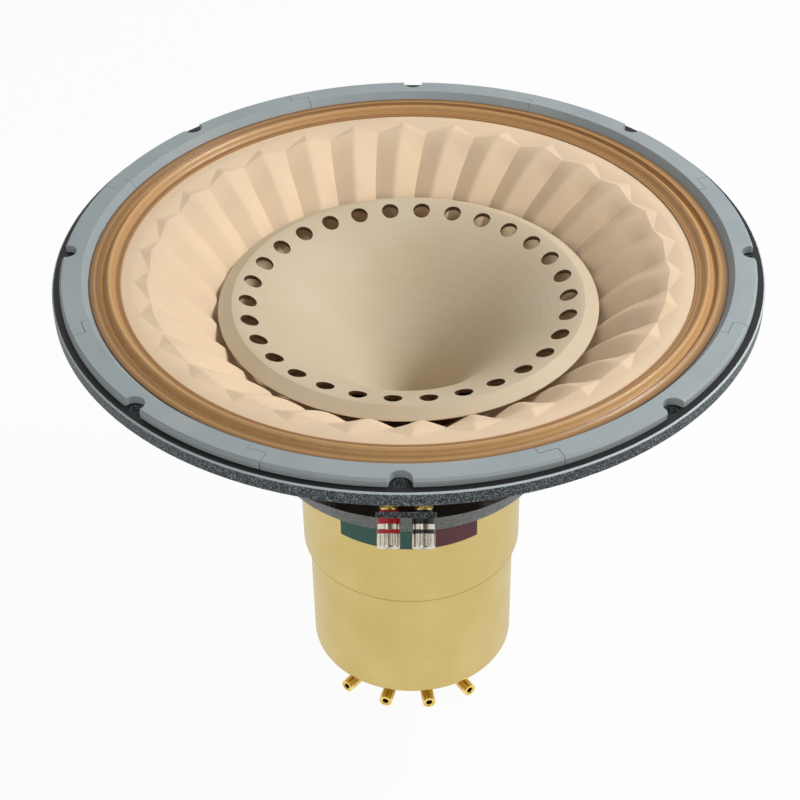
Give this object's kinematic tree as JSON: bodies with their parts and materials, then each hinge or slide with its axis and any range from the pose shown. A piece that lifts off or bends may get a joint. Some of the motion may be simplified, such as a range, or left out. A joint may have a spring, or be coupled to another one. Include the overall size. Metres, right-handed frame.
{
  "type": "coaxial loudspeaker driver",
  "caption": "Coaxial loudspeaker driver with a pleated paper cone, a perforated-rim horn in its middle, a cast frame and a gold cylindrical magnet cover.",
  "frame": {"origin": "centre of the mounting flange's rear face, on the driver's axis", "axes": "+Z along the axis towards the listener; the front terminals are on the -Y side"},
  "size_m": [0.3899, 0.39, 0.304],
  "materials": {
    "frame_paint": "hammered grey enamel",
    "gasket": "matt blue-grey",
    "surround_cloth": "doped golden brown cloth",
    "cone_paper": "matt cream pulp",
    "spider_cloth": "impregnated cloth",
    "former_paper": "varnished paper",
    "copper": "enamelled copper wire",
    "tinsel": "braided copper tinsel",
    "horn_paint": "satin beige",
    "steel": "zinc plated",
    "magnet": "bare magnet alloy",
    "cover_brass": "satin gold lacquer",
    "green_ink": "matt green",
    "maroon_ink": "matt maroon",
    "aluminium": "turned",
    "foil": "bright foil",
    "plug_plastic": "moulded",
    "red_plastic": "translucent red",
    "black_plastic": "gloss black",
    "ivory_plastic": "moulded",
    "nickel": "bright nickel",
    "gold": "bright gold plate"
  },
  "bodies": {
    "frame": {"basket": "frame_paint", "basket_screws": "steel", "surround": "surround_cloth", "spider": "spider_cloth", "tinsel_lead_red": "tinsel", "tinsel_lead_black": "tinsel", "horn": "horn_paint", "throat_tube": "aluminium", "woofer_top_plate": "steel", "woofer_pole": "steel", "woofer_magnet": "magnet", "woofer_yoke": "steel", "upper_cover": "cover_brass", "green_band": "green_ink", "maroon_band": "maroon_ink", "tweeter_front_plate": "steel", "tweeter_magnet": "magnet", "tweeter_pole": "steel", "phase_plug": "plug_plastic", "tweeter_gap_plate": "steel", "tweeter_surround": "foil", "tweeter_clamp_ring": "aluminium", "tweeter_back_cover": "aluminium", "tweeter_screws": "steel", "lower_cover": "cover_brass", "rear_cap": "cover_brass", "rear_cap_screws": "steel", "terminal_studs": "nickel", "red_insulators": "red_plastic", "black_insulators": "black_plastic", "terminal_nuts": "gold", "solder_lugs": "gold", "rear_studs": "gold", "rear_insulators": "ivory_plastic", "front_gasket_1": "gasket", "front_gasket_2": "gasket", "front_gasket_3": "gasket", "front_gasket_4": "gasket", "front_gasket_5": "gasket", "front_gasket_6": "gasket", "front_gasket_7": "gasket", "front_gasket_8": "gasket"},
    "woofer_cone": {"cone": "cone_paper", "woofer_former": "former_paper", "woofer_winding": "copper"},
    "tweeter_diaphragm": {"tweeter_dome": "foil", "tweeter_coil": "copper"},
    "red_ring": {"red_ring": "red_plastic"},
    "red_knob": {"red_knob": "nickel"},
    "black_ring": {"black_ring": "black_plastic"},
    "black_knob": {"black_knob": "nickel"},
    "rear_ring_1": {"rear_ring_1": "gold"},
    "rear_knob_1": {"rear_knob_1": "gold"},
    "rear_ring_2": {"rear_ring_2": "gold"},
    "rear_knob_2": {"rear_knob_2": "gold"},
    "rear_ring_3": {"rear_ring_3": "gold"},
    "rear_knob_3": {"rear_knob_3": "gold"},
    "rear_ring_4": {"rear_ring_4": "gold"},
    "rear_knob_4": {"rear_knob_4": "gold"}
  },
  "joints": [
    {"name": "woofer_travel", "type": "slide", "parent": "frame", "child": "woofer_cone", "axis": [0, 0, 1], "range_m": [-0.0025, 0.0025], "stiffness_N_per_m": 3000, "deforming": ["surround", "spider", "tinsel_lead_red", "tinsel_lead_black"]},
    {"name": "tweeter_travel", "type": "slide", "parent": "frame", "child": "tweeter_diaphragm", "axis": [0, 0, 1], "range_m": [-0.0003, 0.0003], "stiffness_N_per_m": 2000, "deforming": ["tweeter_surround"]},
    {"name": "red_terminal_travel", "type": "slide", "parent": "frame", "child": "red_ring", "axis": [0, -0.7071, -0.7071], "range_m": [0, 0.003]},
    {"name": "red_terminal_turn", "type": "hinge", "parent": "red_ring", "child": "red_knob", "pos_m": [-0.00953, -0.11207, -0.09707], "axis": [0, -0.7071, -0.7071], "range_deg": [0, 1084]},
    {"name": "black_terminal_travel", "type": "slide", "parent": "frame", "child": "black_ring", "axis": [0, -0.7071, -0.7071], "range_m": [0, 0.003]},
    {"name": "black_terminal_turn", "type": "hinge", "parent": "black_ring", "child": "black_knob", "pos_m": [0.00953, -0.11207, -0.09707], "axis": [0, -0.7071, -0.7071], "range_deg": [0, 1084]},
    {"name": "rear_terminal_1_travel", "type": "slide", "parent": "frame", "child": "rear_ring_1", "axis": [-0.6259, -0.7799, 0], "range_m": [0, 0.003]},
    {"name": "rear_terminal_1_turn", "type": "hinge", "parent": "rear_ring_1", "child": "rear_knob_1", "pos_m": [-0.03505, -0.04367, -0.2835], "axis": [-0.6259, -0.7799, 0], "range_deg": [0, 1084]},
    {"name": "rear_terminal_2_travel", "type": "slide", "parent": "frame", "child": "rear_ring_2", "axis": [-0.2462, -0.9692, 0], "range_m": [0, 0.003]},
    {"name": "rear_terminal_2_turn", "type": "hinge", "parent": "rear_ring_2", "child": "rear_knob_2", "pos_m": [-0.01379, -0.05428, -0.2835], "axis": [-0.2462, -0.9692, 0], "range_deg": [0, 1084]},
    {"name": "rear_terminal_3_travel", "type": "slide", "parent": "frame", "child": "rear_ring_3", "axis": [0.1779, -0.984, 0], "range_m": [0, 0.003]},
    {"name": "rear_terminal_3_turn", "type": "hinge", "parent": "rear_ring_3", "child": "rear_knob_3", "pos_m": [0.00996, -0.05511, -0.2835], "axis": [0.1779, -0.984, 0], "range_deg": [0, 1084]},
    {"name": "rear_terminal_4_travel", "type": "slide", "parent": "frame", "child": "rear_ring_4", "axis": [0.57, -0.8216, 0], "range_m": [0, 0.003]},
    {"name": "rear_terminal_4_turn", "type": "hinge", "parent": "rear_ring_4", "child": "rear_knob_4", "pos_m": [0.03192, -0.04601, -0.2835], "axis": [0.57, -0.8216, 0], "range_deg": [0, 1084]}
  ],
  "couplings": [
    {"joint": "red_terminal_turn", "follows": "red_terminal_travel", "rad_per_m": 6283.2},
    {"joint": "black_terminal_turn", "follows": "black_terminal_travel", "rad_per_m": 6283.2},
    {"joint": "rear_terminal_1_turn", "follows": "rear_terminal_1_travel", "rad_per_m": 6283.2},
    {"joint": "rear_terminal_2_turn", "follows": "rear_terminal_2_travel", "rad_per_m": 6283.2},
    {"joint": "rear_terminal_3_turn", "follows": "rear_terminal_3_travel", "rad_per_m": 6283.2},
    {"joint": "rear_terminal_4_turn", "follows": "rear_terminal_4_travel", "rad_per_m": 6283.2}
  ]
}
